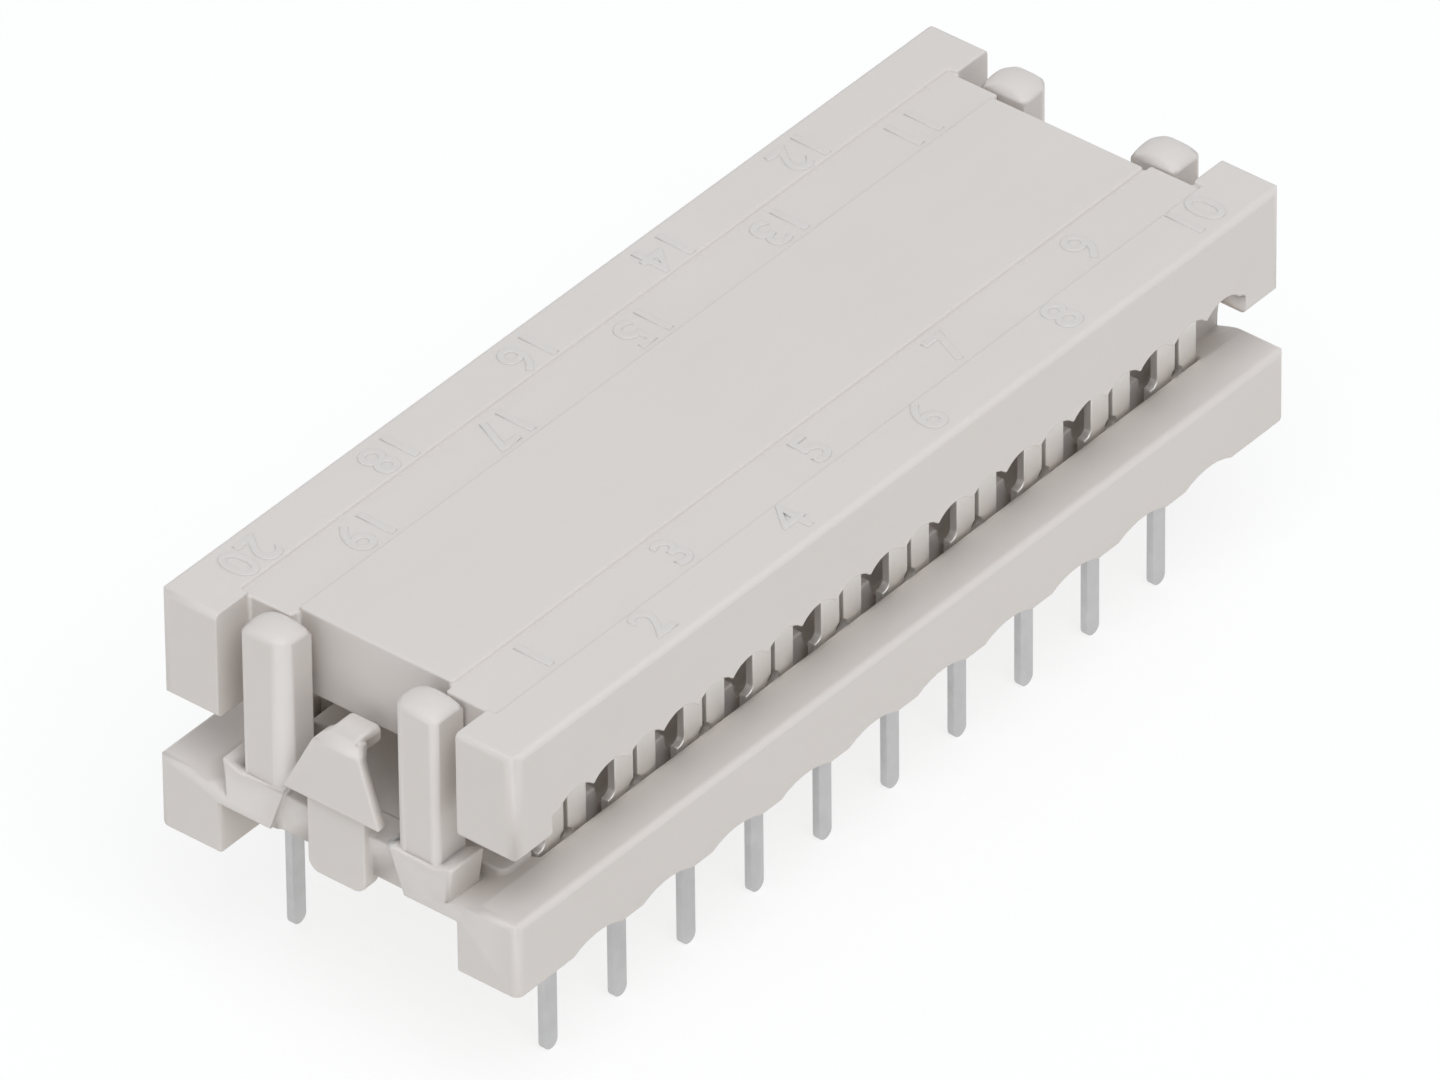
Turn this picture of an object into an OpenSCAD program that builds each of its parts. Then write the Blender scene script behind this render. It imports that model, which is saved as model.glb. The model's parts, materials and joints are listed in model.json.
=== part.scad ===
// Insulation displacement plug for flat ribbon cable.
// Two rows of forked contacts stand in a moulded base. A cover rides on four guide posts and is pressed
// down to push the wires of the cable into the forks. It is modelled open, ready for the cable.
// X runs along the rows, Y across them, Z up. The origin is the middle of the tail grid, on the board.

/* [Contact grid] */
// Contacts in each of the two rows
contacts_per_row = 10; // [4:1:16]
// Distance between neighbouring tails in a row
tail_pitch = 2.54; // [2.5:0.01:3]
// Distance between the two rows of tails
row_spacing = 7.62; // [7.4:0.01:8.4]

/* [Contact] */
// Thickness of the strip that the contacts are stamped from
contact_t = 0.22; // [0.15:0.01:0.3]
// Width of a solder tail
tail_w = 0.47; // [0.4:0.01:0.6]
// Length of a solder tail below the base
tail_len = 3.9; // [2:0.01:6]
// Width of the fork over both tines
fork_w = 1.5; // [1.3:0.01:1.6]
// Height of the fork's tips above the top of the base
fork_rise = 1.73; // [1.4:0.01:1.75]
// Width of the slit that grips the wire
slit_w = 0.15; // [0.1:0.01:0.25]
// Width of the slit's mouth at the tips
slit_mouth_w = 0.8; // [0.5:0.01:0.9]
// Depth of the slit's mouth
slit_mouth_d = 0.55; // [0.3:0.01:0.7]
// Diameter of the round relief at the slit's lower end
relief_d = 0.42; // [0.25:0.01:0.5]
// How far the middle of that relief lies below the top of the base
relief_below = 0.15; // [0.05:0.01:0.4]
// Slope at the outer corners of the tips
tip_slope = 0.2; // [0.1:0.01:0.25]
// How far the shoulder stands out beside the fork
shoulder_w = 0.25; // [0.2:0.01:0.27]
// How far the shoulder's top lies below the top of the base
shoulder_below = 0.07; // [0.05:0.01:0.2]
// Radius of the inner corner between shoulder and tine
shoulder_r = 0.2; // [0.1:0.01:0.24]

/* [Ribbon cable] */
// Thickness of the cable that the closed slot holds
cable_t = 0.9; // [0.8:0.01:1]
// Clearance at each edge of the cable
cable_gap = 0.2; // [0.15:0.01:0.25]

/* [Cover] */
// Height of the cover from its feet to its top
cover_h = 2.98; // [2.9:0.01:3.4]
// How far the open cover's feet stand above the base
cover_lift = 1.78; // [1.5:0.01:1.9]
// From a row of tails to the cover's outer face
cover_side = 1.52; // [1.3:0.01:1.8]
// Depth of the half-round wire grooves
groove_d = 0.28; // [0.2:0.01:0.32]
// Wall beyond the last wire groove at the cover's ends
end_wall = 0.14; // [0.1:0.01:0.3]
// How far the walls behind the posts stand out from the middle of the end
end_step = 0.26; // [0.15:0.01:0.35]
// Distance of the top tracks, and of the steps at the ends, from the middle line
track_y = 2.3; // [2:0.01:2.6]
// Width of the top tracks
track_w = 1.52; // [1.2:0.01:1.7]
// Depth of the top tracks
track_d = 0.1; // [0.05:0.01:0.2]
// Radius of the cover's long and end edges
cover_r = 0.16; // [0.1:0.01:0.3]
// Radius of the cover's upright corners
cover_corner_r = 0.35; // [0.2:0.01:0.5]

/* [Base] */
// Height of the side bars
base_h = 2.12; // [2:0.01:2.5]
// How far the base stands out past the cover on every side
base_lip = 0.075; // [0.03:0.005:0.15]
// How far the side bars reach inwards from a row of tails
bar_inset = 0.26; // [0.2:0.01:0.4]
// Width of the flat on top of a side bar
bar_flat = 1.2; // [1:0.01:1.25]
// How far the side bar's slope falls towards the contacts
bar_fall = 0.33; // [0.25:0.01:0.4]
// Radius of the base's outer edges
base_r = 0.18; // [0.1:0.01:0.3]
// Radius of the base's upright corners
base_corner_r = 0.25; // [0.15:0.01:0.35]
// Depth of the open channel under the base
channel_d = 0.5; // [0.3:0.01:0.7]
// Height of the open end of that channel
end_floor = 1.45; // [1.3:0.01:1.6]
// Depth of the relief arch under the bar at each tail
arch_d = 0.22; // [0.1:0.01:0.3]
// Width of that arch
arch_w = 1.8; // [1.4:0.01:2]

/* [Contact sockets] */
// Clearance round a contact in its socket
socket_gap = 0.03; // [0.02:0.005:0.05]
// Open gap between the side bar's slope and the forks
front_gap = 0.08; // [0.05:0.01:0.12]
// Gap between the forks and the saddle teeth behind them
back_gap = 0.29; // [0.2:0.01:0.4]
// Depth of the contact row's valley below the top of the base
valley_d = 0.92; // [0.9:0.01:1]
// How far the contacts are sunk into the floor of the valley
seat_d = 0.3; // [0.2:0.01:0.4]
// Radius of the round hollow behind each fork
hollow_r = 0.85; // [0.8:0.01:0.95]
// Depth of that hollow
hollow_d = 0.5; // [0.3:0.01:0.8]

/* [Guide posts] */
// Distance of a post's middle from the middle line
post_y = 2.27; // [2.2:0.01:2.5]
// Width of a post
post_w = 1.32; // [1.1:0.01:1.4]
// Depth of a post
post_d = 1.05; // [0.9:0.01:1.15]
// Running gap between a post and the cover behind it
post_gap = 0.1; // [0.06:0.01:0.15]
// Gap between a post and the cover's foot beside it
post_side_gap = 0.64; // [0.45:0.01:0.8]
// How far a post stands above the open cover
post_proud = 0.11; // [0:0.01:0.3]
// Depth of the lead-in at the top of a post's back
post_lead_d = 0.14; // [0.1:0.01:0.3]
// Height of that lead-in
post_lead_h = 0.3; // [0.2:0.01:1]
// Radius of a post's upright edge beside the latch
post_r = 0.4; // [0.2:0.01:0.5]
// Radius of the edges round a post's top
post_top_r = 0.3; // [0.2:0.01:0.4]
// Radius of the dome on a post's top
post_dome_r = 1.2; // [1.15:0.01:2]
// Ledge of the pedestal in front of a post
ledge = 0.125; // [0.1:0.005:0.3]
// Height of that ledge above the top of the base
ledge_h = 0.57; // [0.45:0.01:0.65]
// How far the pedestal's rims stand above the ledge
rim_h = 0.2; // [0.1:0.01:0.25]
// Gap between the pedestal's rim and the cover's foot
rim_gap = 0.1; // [0.06:0.01:0.15]
// How far the pedestal narrows towards its foot beside the latch
pedestal_taper = 0.5; // [0.3:0.01:0.6]

/* [End latches] */
// Height of a latch above the top of the base
latch_h = 2.88; // [2.6:0.01:3.2]
// Half width of the latch's stem
stem_half = 0.86; // [0.7:0.01:1]
// How far the stem's foot stands above the board
stem_foot = 0.9; // [0.6:0.01:1.1]
// Radius at the corners of the stem's foot
stem_r = 0.35; // [0.2:0.01:0.5]
// How far the stem stands out from the crossbar
stem_out = 0.225; // [0.15:0.005:0.35]
// How far the crossbar lies back from the end of the base
crossbar_back = 0.2; // [0.15:0.005:0.4]
// Height of the latch's side ledges above the top of the base
barb_h = 0.98; // [0.8:0.01:1.2]
// How far the barb's lower edge stands out from the stem
barb_out = 0.15; // [0.05:0.01:0.25]
// How far the barb's face leans in towards its top
barb_lean = 0.2; // [0.1:0.01:0.3]
// Half width of the latch's head at its upper corners
latch_top_half = 0.76; // [0.7:0.01:0.9]
// Radius of those corners
latch_corner_r = 0.55; // [0.3:0.01:0.6]
// Radius between the head's front and its top
latch_r = 0.35; // [0.2:0.01:0.4]
// Thickness of the latch's head
head_t = 0.26; // [0.2:0.01:0.35]
// Gap between the latch and the posts beside it
latch_gap = 0.16; // [0.1:0.01:0.2]
// Half width of the latch's nose
nose_half = 0.48; // [0.4:0.01:0.55]
// Gap between the latch's nose and the cover's end
nose_gap = 0.36; // [0.2:0.01:0.7]
// Thickness of the latch's nose
nose_t = 0.5; // [0.3:0.01:0.7]
// Thickness of the latch's stem
stem_t = 0.55; // [0.4:0.01:0.7]

/* [Hidden] */
// Smoothness of round surfaces
$fn = 48;
// Amount by which a cut runs past the face that it opens
past = 0.5;
// Clearance round a fork's tips in the closed cover's pocket
pocket_gap = 0.1;
// Colours of the moulding and of the tinned strip
moulding_grey = "#cdc9c3";
tin_grey = "#b9babd";

// Wires of the cable, one for each contact, at half the tail pitch
wire_pitch = tail_pitch / 2;
wire_count = 2 * contacts_per_row;
cable_half = wire_count * wire_pitch / 2;
row_y = row_spacing / 2;
fork_shift = wire_pitch / 2;
fork_left = fork_shift - fork_w / 2;
fork_right = fork_shift + fork_w / 2;
socket_left = fork_left - shoulder_w - socket_gap;
socket_right = fork_right + socket_gap;

// Places along X, from the middle to an end
foot_x = cable_half + cable_gap;
end_mid_x = cable_half + end_wall;
end_notch_x = end_mid_x + end_step;
post_back_x = end_notch_x + post_gap;
post_front_x = post_back_x + post_d;
post_mid_x = post_back_x + post_d / 2;
base_x = post_front_x + ledge;
cover_x = base_x - base_lip;
crossbar_x = base_x - crossbar_back;
stem_x = crossbar_x + stem_out;
stem_back_x = stem_x - stem_t;
barb_x = stem_x + barb_out;
head_top_x = barb_x - barb_lean;

// Places along Y, from the middle to a side
cover_y = row_y + cover_side;
base_y = cover_y + base_lip;
bar_in_y = row_y - bar_inset;
flat_in_y = base_y - bar_flat;
valley_out_y = row_y + contact_t / 2 + front_gap;
tooth_y = row_y - contact_t / 2 - back_gap;
socket_y = contact_t / 2 + socket_gap;
post_in_y = post_y - post_w / 2;
post_out_y = post_y + post_w / 2;
notch_y = post_out_y + post_side_gap;
pedestal_in_y = post_in_y - latch_gap / 2;
pedestal_out_y = (post_out_y + notch_y) / 2;
rim_y = notch_y - rim_gap;
latch_half = post_in_y - latch_gap;

// Heights above the board
foot_z = base_h + cover_lift;
crown_z = foot_z + cable_t;
cusp_z = crown_z - groove_d;
cover_top_z = foot_z + cover_h;
fork_top_z = base_h + fork_rise;
pocket_z = fork_top_z + cover_lift + pocket_gap;
valley_z = base_h - valley_d;
seat_z = valley_z - seat_d;
relief_z = base_h - relief_below;
shoulder_z = base_h - shoulder_below;
slope_low_z = base_h - bar_fall;
ledge_z = base_h + ledge_h;
rim_z = ledge_z + rim_h;
crossbar_z = ledge_z - rim_h;
post_top_z = cover_top_z + post_proud;
barb_z = base_h + barb_h;
latch_top_z = base_h + latch_h;

// Name of a contact, with its position number as two digits
function contact_name(i) = str("contact_", i < 10 ? "0" : "", i);
// Row of a contact: -1 for the first half of the positions, on the -Y side, and 1 for the rest
function row_side(i) = i <= contacts_per_row ? -1 : 1;
// Place of a contact in its own row, which each row counts in its own direction
function row_place(i) = (i - 1) % contacts_per_row;
// Place of a contact's tail along its own row
function tail_x(i) = (row_place(i) - (contacts_per_row - 1) / 2) * tail_pitch;
// Point where a straight line that rises from an outer corner runs smoothly into a circle
function touch(corner, centre, r) =
    let (away = corner - centre, turn = atan2(away[1], away[0]) + acos(r / norm(away)))
    centre + r * [cos(turn), sin(turn)];

// Rectangle between two corners, with round corners
module round_rect(low, high, r) {
    translate([low[0] + r, low[1]]) square([high[0] - low[0] - 2 * r, high[1] - low[1]]);
    translate([low[0], low[1] + r]) square([high[0] - low[0], high[1] - low[1] - 2 * r]);
    for (x = [low[0] + r, high[0] - r], y = [low[1] + r, high[1] - r]) translate([x, y]) circle(r);
}

// Box between two corners
module box(low, high) {
    translate(low) cube(high - low);
}

// Outline drawn in X and Z, carried along Y from one side to the other
module carry_y(y0, y1) {
    translate([0, y1, 0]) rotate([90, 0, 0]) linear_extrude(y1 - y0) children();
}

// Outline drawn in Y and Z, carried along X from one end to the other
module carry_x(x0, x1) {
    translate([x0, 0, 0]) rotate([90, 0, 90]) linear_extrude(x1 - x0) children();
}

// Outline drawn in X and Y, carried up from one height to another
module carry_z(z0, z1) {
    translate([0, 0, z0]) linear_extrude(z1 - z0) children();
}

// Box between two corners with all its edges rounded, the upright ones by a radius of their own
module soft_box(low, high, r, upright_r) {
    intersection() {
        carry_x(low[0], high[0]) round_rect([low[1], low[2]], [high[1], high[2]], r);
        carry_y(low[1], high[1]) round_rect([low[0], low[2]], [high[0], high[2]], r);
        carry_z(low[2], high[2]) round_rect([low[0], low[1]], [high[0], high[1]], upright_r);
    }
}

// The same shape at both ends
module both_ends() {
    for (turn = [0, 180]) rotate(turn) children();
}

// The same shape on both sides of the middle line
module both_sides() {
    for (side = [0, 1]) mirror([0, side, 0]) children();
}

// Puts a shape drawn at the tail of a contact of the first row in the place of contact i
module at_contact(i) {
    rotate(row_side(i) < 0 ? 0 : 180) translate([tail_x(i), -row_y, 0]) children();
}

// The same shape at every contact
module at_contacts() {
    for (i = [1:wire_count]) at_contact(i) children();
}

// The slit of a fork with its round relief and wide mouth, drawn in X and Z
module slit() {
    translate([0, relief_z]) circle(d = relief_d);
    translate([-slit_w / 2, relief_z]) square([slit_w, fork_top_z - relief_z]);
    polygon([
        [-slit_w / 2, fork_top_z - slit_mouth_d],
        [slit_w / 2, fork_top_z - slit_mouth_d],
        [slit_mouth_w / 2, fork_top_z],
        [slit_mouth_w / 2, fork_top_z + past],
        [-slit_mouth_w / 2, fork_top_z + past],
        [-slit_mouth_w / 2, fork_top_z]
    ]);
}

// Both tines of a fork, drawn in X and Z
module fork() {
    difference() {
        polygon([
            [fork_left, seat_z],
            [fork_right, seat_z],
            [fork_right, fork_top_z - tip_slope],
            [fork_right - tip_slope, fork_top_z],
            [fork_left + tip_slope, fork_top_z],
            [fork_left, fork_top_z - tip_slope]
        ]);
        translate([fork_shift, 0]) slit();
    }
}

// Shoulder beside the fork, with a round inner corner, drawn in X and Z
module shoulder() {
    nook_r = min(shoulder_r, shoulder_w);
    translate([fork_left - shoulder_w, seat_z]) square([shoulder_w, shoulder_z - seat_z]);
    difference() {
        translate([fork_left - nook_r, shoulder_z - nook_r]) square(2 * nook_r);
        translate([fork_left - nook_r, shoulder_z + nook_r]) circle(nook_r);
    }
}

// Outline of a contact in X and Z, with its tail on Z
module contact_outline() {
    tip_z = tail_w / 2 - tail_len;
    translate([0, tip_z]) circle(d = tail_w);
    translate([-tail_w / 2, tip_z]) square([tail_w, seat_z - tip_z]);
    shoulder();
    fork();
}

module contact(i) {
    color(tin_grey) at_contact(i) carry_y(-contact_t / 2, contact_t / 2) contact_outline();
}

// Socket of a contact: a slot for its body and a narrow one for its tail
module socket() {
    tail_half = tail_w / 2 + socket_gap;
    box([socket_left, -socket_y, seat_z], [socket_right, socket_y, base_h]);
    box([-tail_half, -socket_y, -past], [tail_half, socket_y, seat_z + past]);
}

// Round hollow behind a fork, which leaves a saddle tooth on each side of it
module hollow() {
    inner = row_y - tooth_y;
    translate([fork_shift, 0, base_h]) rotate([-90, 0, 0])
        translate([0, 0, inner - past]) cylinder(r = hollow_r, h = past + hollow_d);
}

// Relief arch under the side bar in front of a tail
module arch() {
    arch_r = (pow(arch_w / 2, 2) + pow(arch_d, 2)) / (2 * arch_d);
    carry_y(row_y - base_y - past, -contact_t)
        translate([0, arch_d - arch_r]) circle(arch_r);
}

// Trench of the first row, which its contacts stand in; it runs out at one end of the island
module valley() {
    start_x = tail_x(1) + socket_left - socket_gap;
    end_x = foot_x + socket_gap;
    box([start_x, -valley_out_y, valley_z], [end_x, -tooth_y, base_h + past]);
}

// Section of the side bar on the +Y side, in Y and Z: flat outside, sloping down towards the contacts
module bar_section() {
    difference() {
        union() {
            translate([bar_in_y, 0]) square([base_y - bar_in_y, base_h - base_r]);
            translate([pedestal_out_y, end_floor])
                square([base_y - base_r - pedestal_out_y, base_h - end_floor]);
            translate([base_y - base_r, base_h - base_r]) circle(base_r);
        }
        polygon([
            [flat_in_y, base_h],
            [flat_in_y, base_h + past],
            [pedestal_out_y - past, base_h + past],
            [pedestal_out_y - past, slope_low_z],
            [pedestal_out_y, slope_low_z]
        ]);
    }
}

// Side bars and the web between them with its raised island
module base_body() {
    intersection() {
        union() {
            both_sides() carry_x(-base_x, base_x) bar_section();
            box([-foot_x, -bar_in_y, channel_d], [foot_x, bar_in_y, slope_low_z]);
            carry_z(channel_d, base_h)
                round_rect([-foot_x, -row_y], [foot_x, row_y], base_corner_r);
        }
        carry_y(-base_y, base_y) round_rect([-base_x, -base_h], [base_x, base_h], base_r);
        carry_z(0, base_h) round_rect([-base_x, -base_y], [base_x, base_y], base_corner_r);
    }
}

// Crossbar at the +X end with the flared pedestals that carry the posts
module crossbar() {
    box([foot_x - past, -pedestal_out_y, end_floor], [crossbar_x, pedestal_out_y, slope_low_z]);
    box([post_back_x, -pedestal_out_y, end_floor], [crossbar_x, pedestal_out_y, crossbar_z]);
    both_sides() carry_x(post_back_x, base_x) polygon([
        [pedestal_in_y + pedestal_taper, end_floor],
        [pedestal_out_y, end_floor],
        [rim_y, rim_z],
        [post_out_y, ledge_z],
        [post_in_y, ledge_z],
        [pedestal_in_y, rim_z]
    ]);
}

// Plan of a post at the +X end on the +Y side, rounder beside the latch than beside the cover's foot
module post_plan() {
    polygon([
        [post_back_x, post_in_y],
        [post_front_x - post_r, post_in_y],
        [post_front_x, post_in_y + post_r],
        [post_front_x, post_out_y - base_r],
        [post_front_x - base_r, post_out_y],
        [post_back_x, post_out_y]
    ]);
    translate([post_front_x - post_r, post_in_y + post_r]) circle(post_r);
    translate([post_front_x - base_r, post_out_y - base_r]) circle(base_r);
}

// Side view of that post, in X and Z, with its lead-in
module post_side() {
    polygon([
        [post_back_x, end_floor],
        [post_front_x, end_floor],
        [post_front_x, post_top_z - post_top_r],
        [post_front_x - post_top_r, post_top_z],
        [post_back_x + post_lead_d, post_top_z],
        [post_back_x, post_top_z - post_lead_h]
    ]);
    translate([post_front_x - post_top_r, post_top_z - post_top_r]) circle(post_top_r);
}

// Round column with a ball end, which domes the top of that post
module post_dome() {
    ball_z = post_top_z - post_dome_r;
    translate([post_mid_x, post_y, end_floor]) cylinder(r = post_dome_r, h = ball_z - end_floor);
    translate([post_mid_x, post_y, ball_z]) sphere(post_dome_r);
}

// Guide post at the +X end on the +Y side
module post() {
    intersection() {
        post_dome();
        carry_z(end_floor, post_top_z) post_plan();
        carry_x(post_back_x, post_front_x)
            round_rect([post_in_y, end_floor], [post_out_y, post_top_z], post_top_r);
        carry_y(post_in_y, post_out_y) post_side();
    }
}

// Side view of the latch's head at the +X end, in X and Z: a leaning plate with a rounded top
module head_profile() {
    centre = [head_top_x - latch_r, latch_top_z - latch_r];
    polygon([
        [barb_x - head_t, barb_z],
        [barb_x, barb_z],
        touch([barb_x, barb_z], centre, latch_r),
        [centre[0], latch_top_z],
        [head_top_x - head_t - latch_r, latch_top_z],
        [head_top_x - head_t, centre[1]]
    ]);
    intersection() {
        translate(centre) circle(latch_r);
        translate([head_top_x - head_t, centre[1]]) square(latch_r);
    }
}

// End view of the latch's head, in Y and Z: an arrowhead with round upper corners
module head_outline() {
    centre = [latch_top_half - latch_corner_r, latch_top_z - latch_corner_r];
    for (side = [0, 1]) mirror([side, 0]) {
        polygon([
            [0, barb_z],
            [latch_half, barb_z],
            touch([latch_half, barb_z], centre, latch_corner_r),
            [centre[0], latch_top_z],
            [0, latch_top_z]
        ]);
        translate(centre) circle(latch_corner_r);
    }
}

// Latch at the +X end: a stem, a head, and a spine between them with a nose that reaches towards the cover
module latch() {
    carry_x(stem_back_x, stem_x)
        round_rect([-stem_half, stem_foot], [stem_half, barb_z + stem_r], stem_r);
    intersection() {
        carry_y(-latch_half, latch_half) head_profile();
        carry_x(stem_back_x, barb_x) head_outline();
    }
    carry_y(-nose_half, nose_half) polygon([
        [stem_back_x, barb_z],
        [stem_x, barb_z],
        [head_top_x - head_t / 2, latch_top_z - latch_r],
        [stem_back_x, latch_top_z - latch_r]
    ]);
    carry_x(end_mid_x + nose_gap, head_top_x - head_t)
        round_rect([-nose_half, latch_top_z - nose_t], [nose_half, latch_top_z], base_r);
}

module base() {
    color(moulding_grey) {
        difference() {
            base_body();
            both_ends() valley();
            at_contacts() {
                socket();
                hollow();
                arch();
            }
        }
        both_ends() {
            crossbar();
            latch();
            both_sides() post();
        }
    }
}

// Solid that the cover is cut from: its feet and its recessed ends
module cover_body() {
    difference() {
        soft_box([-cover_x, -cover_y, foot_z], [cover_x, cover_y, cover_top_z], cover_r, cover_corner_r);
        box([-foot_x, -cover_y - past, foot_z - past], [foot_x, cover_y + past, cusp_z]);
        box([-cover_x - past, -notch_y, foot_z - past], [cover_x + past, notch_y, cusp_z]);
        both_ends() {
            box([end_notch_x, -notch_y, foot_z], [cover_x + past, notch_y, cover_top_z + past]);
            box([end_mid_x, -track_y, foot_z], [cover_x, track_y, cover_top_z + past]);
        }
    }
}

// Half-round groove for each wire, right across the cover
module wire_grooves() {
    groove_r = (pow(wire_pitch / 2, 2) + pow(groove_d, 2)) / (2 * groove_d);
    for (i = [1:wire_count])
        translate([(i - (wire_count + 1) / 2) * wire_pitch, 0])
            carry_y(-cover_y - past, cover_y + past) intersection() {
                translate([0, crown_z - groove_r]) circle(groove_r);
                translate([-wire_pitch / 2, cusp_z - past]) square([wire_pitch, groove_d + past]);
            }
}

// Pocket that takes a fork's tips when the cover is closed
module fork_pocket() {
    half = fork_w / 2 + pocket_gap;
    deep = contact_t / 2 + pocket_gap;
    box([fork_shift - half, -deep, foot_z - past], [fork_shift + half, deep, pocket_z]);
}

module cover() {
    color(moulding_grey) difference() {
        cover_body();
        wire_grooves();
        at_contacts() fork_pocket();
        both_sides() box(
            [-end_notch_x, track_y, cover_top_z - track_d],
            [end_notch_x, track_y + track_w, cover_top_z + past]
        );
    }
}

base();
cover();
for (i = [1:wire_count]) contact(i);
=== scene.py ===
"""Looks of a ribbon cable plug: two pale mouldings, tinned forks and a plain studio around the frame."""
import json
import math
from itertools import combinations

import bmesh
import bpy
import numpy as np
from bpy.props import FloatProperty, FloatVectorProperty, PointerProperty
from bpy.types import Operator, Panel, PropertyGroup
from mathutils import Matrix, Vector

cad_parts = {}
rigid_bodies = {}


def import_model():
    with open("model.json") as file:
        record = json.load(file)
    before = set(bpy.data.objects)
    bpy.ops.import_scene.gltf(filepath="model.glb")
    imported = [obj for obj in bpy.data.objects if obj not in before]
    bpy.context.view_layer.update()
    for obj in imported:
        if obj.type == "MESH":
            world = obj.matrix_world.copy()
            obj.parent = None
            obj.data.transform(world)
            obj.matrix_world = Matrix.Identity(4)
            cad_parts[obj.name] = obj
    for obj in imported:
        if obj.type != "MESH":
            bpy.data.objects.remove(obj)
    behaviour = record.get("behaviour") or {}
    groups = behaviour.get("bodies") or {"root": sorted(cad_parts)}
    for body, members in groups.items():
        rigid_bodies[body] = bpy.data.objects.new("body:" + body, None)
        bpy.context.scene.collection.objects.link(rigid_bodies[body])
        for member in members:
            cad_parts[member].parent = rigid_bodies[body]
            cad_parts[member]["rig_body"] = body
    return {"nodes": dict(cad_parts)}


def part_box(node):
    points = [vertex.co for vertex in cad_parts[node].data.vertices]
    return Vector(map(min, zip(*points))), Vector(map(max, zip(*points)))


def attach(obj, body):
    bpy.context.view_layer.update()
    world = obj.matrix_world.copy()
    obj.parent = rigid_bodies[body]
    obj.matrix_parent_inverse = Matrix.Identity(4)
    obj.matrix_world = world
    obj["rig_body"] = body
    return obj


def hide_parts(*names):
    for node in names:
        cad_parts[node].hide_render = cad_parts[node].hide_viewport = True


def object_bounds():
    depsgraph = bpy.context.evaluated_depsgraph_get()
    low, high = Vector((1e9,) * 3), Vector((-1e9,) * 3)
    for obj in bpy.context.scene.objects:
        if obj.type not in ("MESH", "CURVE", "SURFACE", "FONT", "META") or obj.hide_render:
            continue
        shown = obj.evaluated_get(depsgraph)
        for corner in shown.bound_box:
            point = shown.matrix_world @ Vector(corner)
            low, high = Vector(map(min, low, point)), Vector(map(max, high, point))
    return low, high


bl_info = {
    "name": "Ribbon cable plug",
    "version": (1, 0, 0),
    "blender": (4, 5, 0),
    "location": "View3D > Sidebar > Ribbon plug",
    "description": "Dresses the mouldings and contacts of a ribbon cable plug and sets its studio",
    "category": "Object",
}

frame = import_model()
CAD_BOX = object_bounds()
CONTACTS = sorted(name for name in frame["nodes"] if name.startswith("contact_"))
MM = 0.001

# What counts as sharp, flat and in line on the solids, as a corner of a face and as edges that face each
# other, and how close two points are to be one.
SHARP_TURN = math.radians(30)
FLAT_TURN = math.radians(0.6)
LINE_TURN = math.radians(140)
CORNER_COSINE = 0.85
FACING_COSINE = -0.5
SAME_POINT = 0.0001 * MM

# Share of a face that a round may take, up to another sharp edge or up to a smooth one.
SHARP_SHARE = 0.45
SMOOTH_SHARE = 0.85

# Rounds: the smallest weight that is kept, the length of a short edge in widths of the round, the facets
# across a round, how close corners are to be joined, and how far flat faces rule the shading at their edges.
LEAST_WEIGHT = 0.1
SHORT_EDGE = (2, 6)
ROUND_FACETS = 3
JOIN_CORNERS = 0.0005 * MM
FLAT_FACE_WEIGHT = 100

# Sockets of a Mix node that is set to colours.
MIX_SHARE, MIX_LOW, MIX_HIGH, MIX_RESULT = 0, 6, 7, 2

# Shares of the patterns in the colours, and how far they sway the roughness about its middle.
NOISE_MIDDLE = 0.5
CLOUD_TONE, STREAK_TONE, GRAIN_TONE = 0.6, 0.25, 0.15
GRAIN_SWAY, CLOUD_SWAY = 0.16, 0.1
# Painted shade on the tin: the share of the height fade that darkens it towards the bottom, then the patches
# and rolling lines.
FADE_TONE, PATCH_TONE, LINE_TONE = 0.8, 0.14, 0.06
PATCH_SWAY, LINE_SWAY = -0.2, 0.14

# Sizes of the patterns: streaks across a cloud, how much longer streaks and rolling lines are along each
# axis, the depth of a rolling line as a share of its spacing, and the width of a patch in the plate.
STREAKS_IN_CLOUD = 6
STREAK_STRETCH = (7, 1, 1)
ROLLING_STRETCH = (1, 1, 40)
ROLLING_DEPTH = 0.04
PATCH_SIZE = 0.5 * MM

# Numerals: a figure's height in the font's size, and the pitches from the row's end to the first number.
FIGURE_HEIGHT = 0.73
FIRST_NUMBER = 0.75

# Stage, in metres.
FLOOR_REACH = 3.0
LAMP_WIDTH = 0.5
LAMP_DISTANCE = 0.6


class MouldingSettings(PropertyGroup):
    """Sizes and colours of the two mouldings."""

    pale: FloatVectorProperty(
        name="Pale tone", description="Lightest tone of the moulding compound",
        subtype="COLOR", size=3, default=(0.655, 0.599, 0.560))
    deep: FloatVectorProperty(
        name="Deep tone", description="Darkest tone in the compound's clouds and streaks",
        subtype="COLOR", size=3, default=(0.612, 0.553, 0.505))
    cloud: FloatProperty(
        name="Cloud size", description="Width of the broad clouds of tone",
        unit="LENGTH", default=4.0 * MM)
    grain: FloatProperty(
        name="Grain size", description="Width of a grain of the matt mould skin",
        unit="LENGTH", default=0.07 * MM)
    relief: FloatProperty(
        name="Grain depth", description="Depth of the matt mould skin",
        unit="LENGTH", default=0.003 * MM)
    roughness: FloatProperty(
        name="Roughness", description="Middle roughness of the skin",
        subtype="FACTOR", default=0.52)
    edge: FloatProperty(
        name="Edge radius", description="Small round on the moulded edges",
        unit="LENGTH", default=0.1 * MM)
    corner: FloatProperty(
        name="Corner softness",
        description="Width over which the light turns at inner corners and shallow edges",
        unit="LENGTH", default=0.07 * MM)


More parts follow.
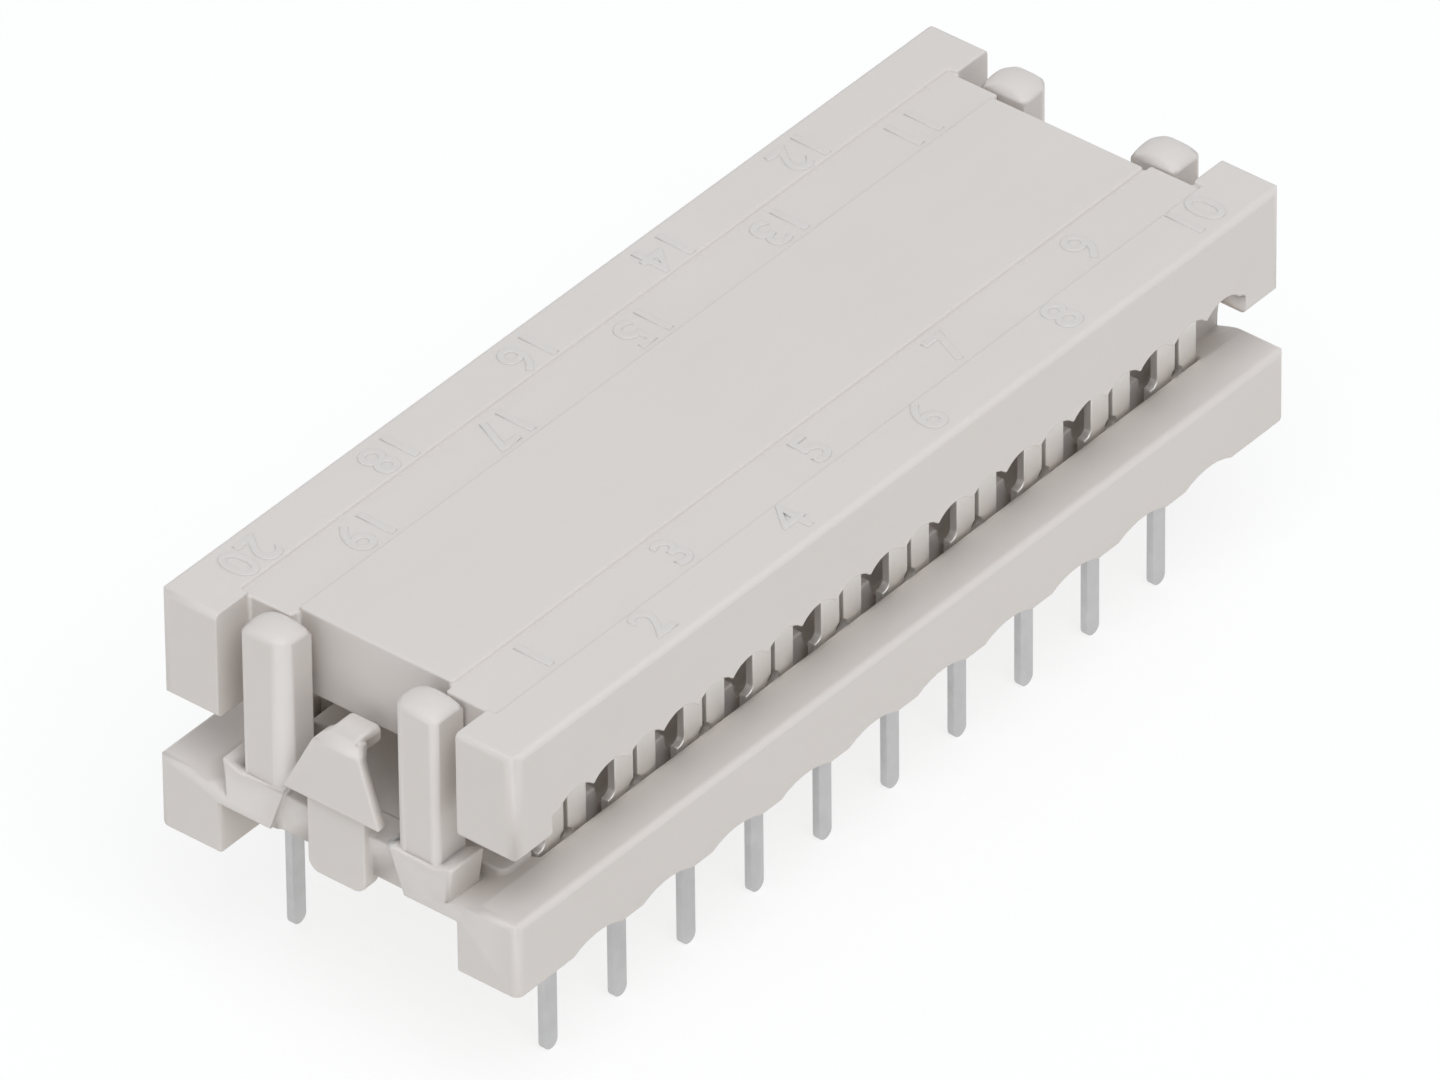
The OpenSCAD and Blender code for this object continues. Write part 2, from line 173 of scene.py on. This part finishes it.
class ContactSettings(PropertyGroup):
    """Sizes and colours of the tinned contacts."""

    tin: FloatVectorProperty(
        name="Tin", description="Colour of the bright tin plate on the forks",
        subtype="COLOR", size=3, default=(0.97, 0.955, 0.925))
    # Painted shade: the darker tone that the tin takes towards the bottom, on the tails.
    dull: FloatVectorProperty(
        name="Dull tin", description="Colour of the plate on the solder tails, which has gone dull",
        subtype="COLOR", size=3, default=(0.53, 0.53, 0.535))
    # Painted shade: the height above the board over which the tin fades up from the darker tone to its bright
    # colour.
    clean: FloatProperty(
        name="Clean height", description="Height above the board where the plate is bright",
        unit="LENGTH", default=1.2 * MM)
    roughness: FloatProperty(
        name="Roughness", description="Middle roughness of the plate",
        subtype="FACTOR", default=0.5)
    rolling: FloatProperty(
        name="Rolling lines", description="Spacing of the fine lines left by rolling the strip",
        unit="LENGTH", default=0.035 * MM)
    edge: FloatProperty(
        name="Edge radius", description="Round left on the edges by stamping and plating",
        unit="LENGTH", default=0.025 * MM)


class NumberSettings(PropertyGroup):
    """Raised position numbers on the cover."""

    height: FloatProperty(
        name="Number height", description="Height of a raised numeral",
        unit="LENGTH", default=1.1 * MM)
    rise: FloatProperty(
        name="Rise", description="How far the round-edged numerals stand up from the cover",
        unit="LENGTH", default=0.03 * MM)
    track: FloatProperty(
        name="Track line", description="Distance of the numerals in the track from the middle line",
        unit="LENGTH", default=3.1 * MM)
    rim: FloatProperty(
        name="Rim line", description="Distance of the numerals on the outer strip from the middle line",
        unit="LENGTH", default=4.5 * MM)
    track_depth: FloatProperty(
        name="Track depth", description="Depth of the track below the cover's top",
        unit="LENGTH", default=0.1 * MM)


class StageSettings(PropertyGroup):
    """Camera, light and floor."""

    place: FloatVectorProperty(
        name="Camera place", description="Where the camera stands",
        subtype="TRANSLATION", unit="LENGTH", size=3,
        default=(-0.31667140, -0.25995285, 0.31038524))
    azimuth: FloatProperty(
        name="Azimuth", description="Turn of the view about the upright axis",
        subtype="ANGLE", default=math.radians(-50.59))
    elevation: FloatProperty(
        name="Elevation", description="Height of the view above the horizon",
        subtype="ANGLE", default=math.radians(36.94))
    roll: FloatProperty(
        name="Roll", description="Turn of the view about its own axis",
        subtype="ANGLE", default=math.radians(-0.59))
    lens: FloatProperty(
        name="Lens", description="Focal length in millimetres", default=545.66)
    key: FloatProperty(
        name="Key light", description="Power of the soft box in watts", default=2.5)
    key_from: FloatVectorProperty(
        name="Key side", description="Direction that the soft box shines from",
        subtype="DIRECTION", size=3, default=(-0.33, -0.40, 0.86))
    fill: FloatProperty(
        name="Fill light", description="Strength of the even light from all round", default=0.62)
    tint: FloatVectorProperty(
        name="Light tint", description="Colour of the soft box and of the even light, near to daylight",
        subtype="COLOR", size=3, default=(0.89, 0.945, 1.0))
    paper: FloatVectorProperty(
        name="Floor paper", description="Colour of the floor, warm enough to look white in that light",
        subtype="COLOR", size=3, default=(0.95, 0.925, 0.89))
    shadow: FloatProperty(
        name="Floor shadow", description="Share of the floor's own shading that the camera sees",
        subtype="FACTOR", default=0.2)


class Wire:
    """An output socket of a shader node. Arithmetic on it adds Math nodes to its tree."""

    def __init__(self, tree, socket=None):
        self.tree = tree
        self.socket = socket

    def node(self, kind, settings=None, inputs=None, output=0):
        """Adds a node, its settings first and then its sockets' values or links. Gives one of its outputs."""
        made = self.tree.nodes.new(kind)
        for key, value in (settings or {}).items():
            setattr(made, key, value)
        for key, value in (inputs or {}).items():
            if isinstance(value, Wire):
                self.tree.links.new(value.socket, made.inputs[key])
            else:
                made.inputs[key].default_value = value
        return Wire(self.tree, made.outputs[output]) if made.outputs else None

    def math(self, operation, first, second):
        """A Math node on two values or wires."""
        return self.node("ShaderNodeMath", {"operation": operation}, {0: first, 1: second})

    def __add__(self, other):
        return self.math("ADD", self, other)

    __radd__ = __add__

    def __sub__(self, other):
        return self.math("SUBTRACT", self, other)

    def __rsub__(self, other):
        return self.math("SUBTRACT", other, self)

    def __mul__(self, other):
        return self.math("MULTIPLY", self, other)

    __rmul__ = __mul__

    def noise(self, spacing, stretch=(1, 1, 1), detail=2.0):
        """Noise whose blobs are about one spacing wide, longer along an axis by its stretch."""
        scale = [1 / (spacing * longer) for longer in stretch]
        spread = self.node("ShaderNodeMapping", {"vector_type": "POINT"}, {"Vector": self, "Scale": scale})
        return self.node("ShaderNodeTexNoise", None, {"Vector": spread, "Scale": 1.0, "Detail": detail})

    def sway(self, amount):
        """This noise as a change of up to half the amount to either side of zero."""
        return (self - NOISE_MIDDLE) * amount

    def blend(self, low, high):
        """Colour between two tones, with this value as the share of the second."""
        tones = {MIX_SHARE: self, MIX_LOW: (*low, 1), MIX_HIGH: (*high, 1)}
        return self.node("ShaderNodeMix", {"data_type": "RGBA"}, tones, MIX_RESULT)


def new_material(name):
    """An empty node material and a wire to start its nodes from."""
    material = bpy.data.materials.new(name)
    material.use_nodes = True
    material.node_tree.nodes.clear()
    return material, Wire(material.node_tree)


def finish_material(wire, shader):
    """Joins a shader to the material's output."""
    wire.node("ShaderNodeOutputMaterial", None, {"Surface": shader})


def moulding_material(name, look, corner):
    """Matt moulded polyester: clouds of tone, faint flow streaks along the moulding and a fine skin grain.
    Its light turns softly over the corner width, as on the small fillets of a moulding."""
    if name in bpy.data.materials:
        return bpy.data.materials[name]
    material, wire = new_material(name)
    place = wire.node("ShaderNodeTexCoord", None, None, "Object")
    clouds = place.noise(look.cloud, detail=3.0)
    streaks = place.noise(look.cloud / STREAKS_IN_CLOUD, stretch=STREAK_STRETCH)
    grain = place.noise(look.grain, detail=3.0)
    tone = clouds * CLOUD_TONE + streaks * STREAK_TONE + grain * GRAIN_TONE
    rounded = wire.node("ShaderNodeBevel", {"samples": 6}, {"Radius": corner})
    normal = wire.node("ShaderNodeBump", None, {
        "Strength": 0.6, "Distance": look.relief, "Height": grain, "Normal": rounded})
    shader = wire.node("ShaderNodeBsdfPrincipled", None, {
        "Base Color": tone.blend(look.deep, look.pale),
        "Roughness": look.roughness + grain.sway(GRAIN_SWAY) + clouds.sway(CLOUD_SWAY),
        "IOR": 1.5,
        "Subsurface Weight": 0.2,
        "Subsurface Radius": (1.0, 0.9, 0.8),
        "Subsurface Scale": 0.25 * MM,
        "Normal": normal,
    })
    finish_material(wire, shader)
    return material


def tin_material(look):
    """Tin-plated strip: bright on the forks, with painted shade that darkens it towards the bottom onto the
    tails, with fine rolling lines along the contact and patches in the plate."""
    material, wire = new_material("tinned_strip")
    place = wire.node("ShaderNodeTexCoord", None, None, "Object")
    lines = place.noise(look.rolling, stretch=ROLLING_STRETCH, detail=3.0)
    patches = place.noise(PATCH_SIZE, detail=3.0)
    height = wire.node("ShaderNodeSeparateXYZ", None, {"Vector": place}, "Z")
    # Painted shade: the share of the bright tin rises from the board up to the fade height, so the plate is
    # darker towards the bottom.
    clean = wire.node("ShaderNodeMapRange", None, {"Value": height, "From Min": 0.0, "From Max": look.clean})
    bright = clean * FADE_TONE + patches * PATCH_TONE + lines * LINE_TONE
    normal = wire.node("ShaderNodeBump", None, {
        "Strength": 0.35, "Distance": look.rolling * ROLLING_DEPTH, "Height": lines})
    shader = wire.node("ShaderNodeBsdfPrincipled", None, {
        "Base Color": bright.blend(look.dull, look.tin),
        "Metallic": 1.0,
        "Roughness": look.roughness + patches.sway(PATCH_SWAY) + lines.sway(LINE_SWAY),
        "Normal": normal,
    })
    finish_material(wire, shader)
    return material


def plain_rays(wire):
    """1 for the rays that see a plain white background: from the camera, from gloss and through glass."""
    path = wire.node("ShaderNodeLightPath").socket.node
    camera = Wire(wire.tree, path.outputs["Is Camera Ray"])
    glossy = Wire(wire.tree, path.outputs["Is Glossy Ray"])
    passed = Wire(wire.tree, path.outputs["Is Transmission Ray"])
    return wire.math("MAXIMUM", wire.math("MAXIMUM", camera, glossy), passed)


def floor_material(look):
    """White floor: its own shading gives the soft shadow, the rest of what the camera sees is plain white."""
    material, wire = new_material("studio_floor")
    paper = wire.node("ShaderNodeBsdfDiffuse", None, {"Color": (*look.paper, 1)})
    white = wire.node("ShaderNodeEmission", None, {"Color": (1, 1, 1, 1), "Strength": 1.0})
    share = plain_rays(wire) * (1 - look.shadow)
    finish_material(wire, wire.node("ShaderNodeMixShader", None, {0: share, 1: paper, 2: white}))
    return material


def lowest(values, first, second):
    """Gives both members of every pair the lower of their two values, until none changes."""
    last = None
    while last is None or (values != last).any():
        last = values.copy()
        low = np.minimum(values[first], values[second])
        np.minimum.at(values, first, low)
        np.minimum.at(values, second, low)
    return values


def surface_labels(mesh):
    """One number for each surface of the CAD solid, whose triangles share corners only with each other: the
    lowest number of the corners that its edges join."""
    ends = np.empty(len(mesh.edges) * 2, int)
    mesh.edges.foreach_get("vertices", ends)
    label = lowest(np.arange(len(mesh.vertices)), ends[::2], ends[1::2])
    first = np.empty(len(mesh.polygons), int)
    mesh.polygons.foreach_get("loop_start", first)
    corner = np.empty(len(mesh.loops), int)
    mesh.loops.foreach_get("vertex_index", corner)
    return label[corner[first]]


def edge_rooms(shape, sharp):
    """Room for a round beside every edge of a mesh: the distance straight across each face that meets there,
    from its middle and from the ends of the edges that face it. It is taken nearly whole up to a smooth edge
    and by half up to a sharp one, and by half along the short edges at its corners."""
    room = np.full(len(shape.edges), np.inf)
    for face in shape.faces:
        points = np.array([loop.vert.co for loop in face.loops])
        edges = np.array([loop.edge.index for loop in face.loops])
        along = np.roll(points, -1, 0) - points
        length = np.linalg.norm(along, axis=1)
        along /= length[:, None]
        inward = np.cross(face.normal, along)
        offset = points[None] - (points + along * length[:, None] / 2)[:, None]
        side = np.einsum("ijk,ik->ij", offset, along)
        depth = np.einsum("ijk,ik->ij", offset, inward)
        side_end, depth_end = np.roll(side, -1, 1), np.roll(depth, -1, 1)
        span = np.where(side_end == side, 1, side_end - side)
        reach = depth - side * (depth_end - depth) / span
        reach[(side * side_end > 0) | (reach < SAME_POINT)] = np.inf
        facing = inward @ inward.T < FACING_COSINE
        for beside, far in ((side, depth), (side_end, depth_end)):
            over = facing & (np.abs(beside) < length[:, None] / 2) & (far > SAME_POINT)
            reach = np.minimum(reach, np.where(over, far, np.inf))
        share = np.where(sharp[edges], SHARP_SHARE, SMOOTH_SHARE)
        across = (reach * share).min(1)
        corner = np.einsum("ij,ij->i", along, np.roll(along, -1, 0)) < CORNER_COSINE
        ahead = np.where(corner, np.roll(length, -1), np.inf)
        behind = np.roll(np.where(corner, length, np.inf), 1)
        np.minimum.at(room, edges, np.minimum(across, SHARP_SHARE * np.minimum(ahead, behind)))
    return room


def sharp_edges(shape):
    """Marks the edges to round: all the edges that two surfaces of the solid share, where they meet at a
    sharp turn all the way along."""
    surface = shape.faces.layers.int["surface"]
    sides = np.sort([[face[surface] for face in line.link_faces] for line in shape.edges], 1)
    turn = [line.calc_face_angle() for line in shape.edges]
    pair = np.unique(sides, axis=0, return_inverse=True)[1].ravel()
    least = np.full(pair.max() + 1, np.inf)
    np.minimum.at(least, pair, turn)
    return (least[pair] > SHARP_TURN) & (sides[:, 0] != sides[:, 1])


def evened(shape, weight, edge):
    """Gives edges that run on from each other the lowest of their weights. A short edge that runs on into a
    sharp edge with no round gets none either, and the smallest weights are dropped."""
    bent = np.array([line.calc_face_angle() for line in shape.edges]) > SHARP_TURN
    widths = np.array([line.calc_length() for line in shape.edges]) / edge
    short = (widths > SHORT_EDGE[0]) & (widths < SHORT_EDGE[1])
    rounded = weight > 0
    stops = bent & (short | ~rounded)
    runs = [
        (one.index, two.index)
        for vert in shape.verts
        for one, two in combinations(vert.link_edges, 2)
        if (rounded[one.index] and rounded[two.index] or stops[one.index] and stops[two.index])
        and (one.other_vert(vert).co - vert.co).angle(two.other_vert(vert).co - vert.co) > LINE_TURN]
    weight = lowest(weight, *np.array(runs).T)
    return np.where(weight < LEAST_WEIGHT, 0, weight)


def merged_copy(node, edge):
    """Mesh of a CAD node with its corners merged and its flat faces whole. The bevel weight of a sharp edge
    is its room divided by the radius, from 0 to 1."""
    mesh = frame["nodes"][node].data.copy()
    mesh.name = node + "_soft"
    mesh.attributes.new("surface", "INT", "FACE").data.foreach_set("value", surface_labels(mesh))
    shape = bmesh.new()
    shape.from_mesh(mesh)
    bmesh.ops.remove_doubles(shape, verts=shape.verts, dist=SAME_POINT)
    bmesh.ops.dissolve_limit(shape, angle_limit=FLAT_TURN, verts=shape.verts, edges=shape.edges)
    shape.edges.index_update()
    sharp = sharp_edges(shape)
    fitting = np.clip(edge_rooms(shape, sharp) / edge, 0, 1)
    weight = evened(shape, np.where(sharp, fitting, 0), edge)
    for face in shape.faces:
        face.smooth = True
    shape.to_mesh(mesh)
    shape.free()
    for spare in {"custom_normal", "surface"} & set(mesh.attributes.keys()):
        mesh.attributes.remove(mesh.attributes[spare])
    mesh.attributes.new("bevel_weight_edge", "FLOAT", "EDGE").data.foreach_set("value", weight)
    return mesh


def softened(node, edge, material):
    """Puts a merged copy in the place of a CAD node, with a small round on its sharp edges where its faces
    leave room."""
    mesh = merged_copy(node, edge)
    mesh.materials.clear()
    mesh.materials.append(material)
    piece = bpy.data.objects.new(node + "_soft", mesh)
    bpy.context.scene.collection.objects.link(piece)
    bevel = piece.modifiers.new("Edge round", "BEVEL")
    bevel.width = edge
    bevel.segments = ROUND_FACETS
    bevel.limit_method = "WEIGHT"
    bevel.use_clamp_overlap = False
    weld = piece.modifiers.new("Joined corners", "WELD")
    weld.merge_threshold = JOIN_CORNERS
    shade = piece.modifiers.new("Flat faces", "WEIGHTED_NORMAL")
    shade.weight = FLAT_FACE_WEIGHT
    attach(piece, frame["nodes"][node]["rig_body"])
    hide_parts(node)


def numeral_mesh(text, look):
    """Vertices and faces of a numeral on the XY plane, centred on the origin, its edges round by the rise."""
    curve = bpy.data.curves.new("numeral", "FONT")
    curve.body = text
    curve.size = look.height / FIGURE_HEIGHT
    curve.align_x = "CENTER"
    curve.align_y = "CENTER"
    curve.bevel_depth = look.rise
    curve.bevel_resolution = 2
    curve.resolution_u = 4
    holder = bpy.data.objects.new("numeral", curve)
    bpy.context.scene.collection.objects.link(holder)
    mesh = bpy.data.meshes.new_from_object(holder.evaluated_get(bpy.context.evaluated_depsgraph_get()))
    points = np.empty(len(mesh.vertices) * 3)
    mesh.vertices.foreach_get("co", points)
    faces = [tuple(face.vertices) for face in mesh.polygons]
    bpy.data.objects.remove(holder)
    bpy.data.curves.remove(curve)
    bpy.data.meshes.remove(mesh)
    return points.reshape(-1, 3), faces


class PLUG_OT_base(Operator):
    """Rounds the base's edges and gives it its moulded skin"""

    bl_idname = "plug.base"
    bl_label = "Base moulding"

    def execute(self, context):
        look = context.scene.plug_moulding
        material = moulding_material("moulded_polyester", look, look.corner)
        softened("base", look.edge, material)
        return {"FINISHED"}


class PLUG_OT_cover(Operator):
    """Rounds the cover's edges and gives it its moulded skin"""

    bl_idname = "plug.cover"
    bl_label = "Cover moulding"

    def execute(self, context):
        look = context.scene.plug_moulding
        material = moulding_material("moulded_polyester", look, look.corner)
        softened("cover", look.edge, material)
        return {"FINISHED"}


class PLUG_OT_contacts(Operator):
    """Rounds the stamped edges of every contact and tins it"""

    bl_idname = "plug.contacts"
    bl_label = "Tinned contacts"

    def execute(self, context):
        look = context.scene.plug_contact
        material = tin_material(look)
        for node in CONTACTS:
            softened(node, look.edge, material)
        return {"FINISHED"}


class PLUG_OT_numbers(Operator):
    """Raises the position numbers on the cover's top"""

    bl_idname = "plug.numbers"
    bl_label = "Position numbers"

    def execute(self, context):
        look = context.scene.plug_numbers
        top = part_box("cover")[1].z
        half = len(CONTACTS) // 2
        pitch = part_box(CONTACTS[1])[0].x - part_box(CONTACTS[0])[0].x
        points, faces, count = [], [], 0
        # The numbers run up one side and back along the other, by turns in the track and on the rim.
        for number in range(1, 2 * half + 1):
            step = (number - 1) % half
            turn = 1 if number <= half else -1
            in_track = step % 2 == 0
            across = look.track if in_track else look.rim
            along = turn * (step - half / 2 + FIRST_NUMBER) * pitch
            level = top - (look.track_depth if in_track else 0)
            flat, loops = numeral_mesh(str(number), look)
            flat = flat * (turn, turn, 1) + (along, -turn * across, level)
            points.append(flat)
            faces += [tuple(corner + count for corner in loop) for loop in loops]
            count += len(flat)
        mesh = bpy.data.meshes.new("cover_numbers")
        mesh.from_pydata(np.concatenate(points).tolist(), [], faces)
        mesh.shade_smooth()
        mesh.materials.append(moulding_material("moulded_numeral", context.scene.plug_moulding, 0.0))
        piece = bpy.data.objects.new("cover_numbers", mesh)
        piece.modifiers.new("Flat faces", "WEIGHTED_NORMAL")
        context.scene.collection.objects.link(piece)
        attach(piece, "cover")
        return {"FINISHED"}


class PLUG_OT_stage(Operator):
    """Sets the floor, the soft light and the camera at the photo's view"""

    bl_idname = "plug.stage"
    bl_label = "Studio stage"

    def execute(self, context):
        look = context.scene.plug_stage
        context.scene.view_settings.view_transform = "Standard"
        self.set_floor(look)
        self.set_light(look)
        self.set_world(look)
        self.set_camera(look)
        return {"FINISHED"}

    def set_floor(self, look):
        """A wide square at the height of the tails' tips."""
        u, v = np.meshgrid((-FLOOR_REACH, FLOOR_REACH), (-FLOOR_REACH, FLOOR_REACH))
        level = np.full(u.shape, CAD_BOX[0].z)
        mesh = bpy.data.meshes.new("floor")
        mesh.from_pydata(np.stack([u, v, level], -1).reshape(-1, 3).tolist(), [], [(0, 1, 3, 2)])
        mesh.materials.append(floor_material(look))
        floor = bpy.data.objects.new("floor", mesh)
        bpy.context.scene.collection.objects.link(floor)

    def set_light(self, look):
        """A wide round soft box that faces the middle of the floor."""
        lamp = bpy.data.lights.new("soft_box", "AREA")
        lamp.energy = look.key
        lamp.color = look.tint
        lamp.shape = "DISK"
        lamp.size = LAMP_WIDTH
        box = bpy.data.objects.new("soft_box", lamp)
        toward = np.array(look.key_from) / np.linalg.norm(look.key_from)
        side = np.cross((0, 0, 1), toward)
        side /= np.linalg.norm(side)
        turn = np.column_stack([side, np.cross(toward, side), toward, LAMP_DISTANCE * toward])
        box.matrix_world = Matrix(np.vstack([turn, (0, 0, 0, 1)]).tolist())
        bpy.context.scene.collection.objects.link(box)

    def set_world(self, look):
        """Even light from all round; the camera and reflections see plain white."""
        world = bpy.data.worlds.new("studio")
        world.use_nodes = True
        world.node_tree.nodes.clear()
        wire = Wire(world.node_tree)
        light = wire.node("ShaderNodeBackground", None, {"Color": (*look.tint, 1), "Strength": look.fill})
        white = wire.node("ShaderNodeBackground", None, {"Color": (1, 1, 1, 1), "Strength": 1.0})
        mixed = wire.node("ShaderNodeMixShader", None, {0: plain_rays(wire), 1: light, 2: white})
        wire.node("ShaderNodeOutputWorld", None, {"Surface": mixed})
        bpy.context.scene.world = world

    def set_camera(self, look):
        """Axes of the view from its azimuth and elevation, turned by its roll."""
        az, el, roll = look.azimuth, look.elevation, look.roll
        back = np.array((math.sin(az) * math.cos(el), -math.cos(az) * math.cos(el), math.sin(el)))
        right = np.array((math.cos(az), math.sin(az), 0))
        up = np.cross(back, right)
        across = math.cos(roll) * right + math.sin(roll) * up
        upward = math.cos(roll) * up - math.sin(roll) * right
        camera = bpy.data.cameras.new("camera")
        camera.sensor_width = 36
        camera.lens = look.lens
        holder = bpy.data.objects.new("camera", camera)
        turn = np.column_stack([across, upward, back, look.place])
        holder.matrix_world = Matrix(np.vstack([turn, (0, 0, 0, 1)]).tolist())
        bpy.context.scene.collection.objects.link(holder)
        bpy.context.scene.camera = holder


class PLUG_PT_panel(Panel):
    """Sizes, colours and steps of the ribbon cable plug"""

    bl_label = "Ribbon cable plug"
    bl_idname = "PLUG_PT_panel"
    bl_space_type = "VIEW_3D"
    bl_region_type = "UI"
    bl_category = "Ribbon plug"

    def draw(self, context):
        for name in SETTINGS:
            group = getattr(context.scene, name)
            box = self.layout.box()
            for key in group.__annotations__:
                box.prop(group, key)
        for step in STEPS:
            self.layout.operator(step.bl_idname)


SETTINGS = {
    "plug_moulding": MouldingSettings,
    "plug_contact": ContactSettings,
    "plug_numbers": NumberSettings,
    "plug_stage": StageSettings,
}
STEPS = (PLUG_OT_base, PLUG_OT_cover, PLUG_OT_contacts, PLUG_OT_numbers, PLUG_OT_stage)
CLASSES = (*SETTINGS.values(), *STEPS, PLUG_PT_panel)


def register():
    for kind in CLASSES:
        bpy.utils.register_class(kind)
    for name, group in SETTINGS.items():
        setattr(bpy.types.Scene, name, PointerProperty(type=group))


def unregister():
    for name in SETTINGS:
        delattr(bpy.types.Scene, name)
    for kind in reversed(CLASSES):
        bpy.utils.unregister_class(kind)


def main():
    """Registers the add-on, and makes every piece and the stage."""
    register()
    bpy.ops.plug.base()
    bpy.ops.plug.cover()
    bpy.ops.plug.contacts()
    bpy.ops.plug.numbers()
    bpy.ops.plug.stage()


if __name__ == "__main__":
    main()
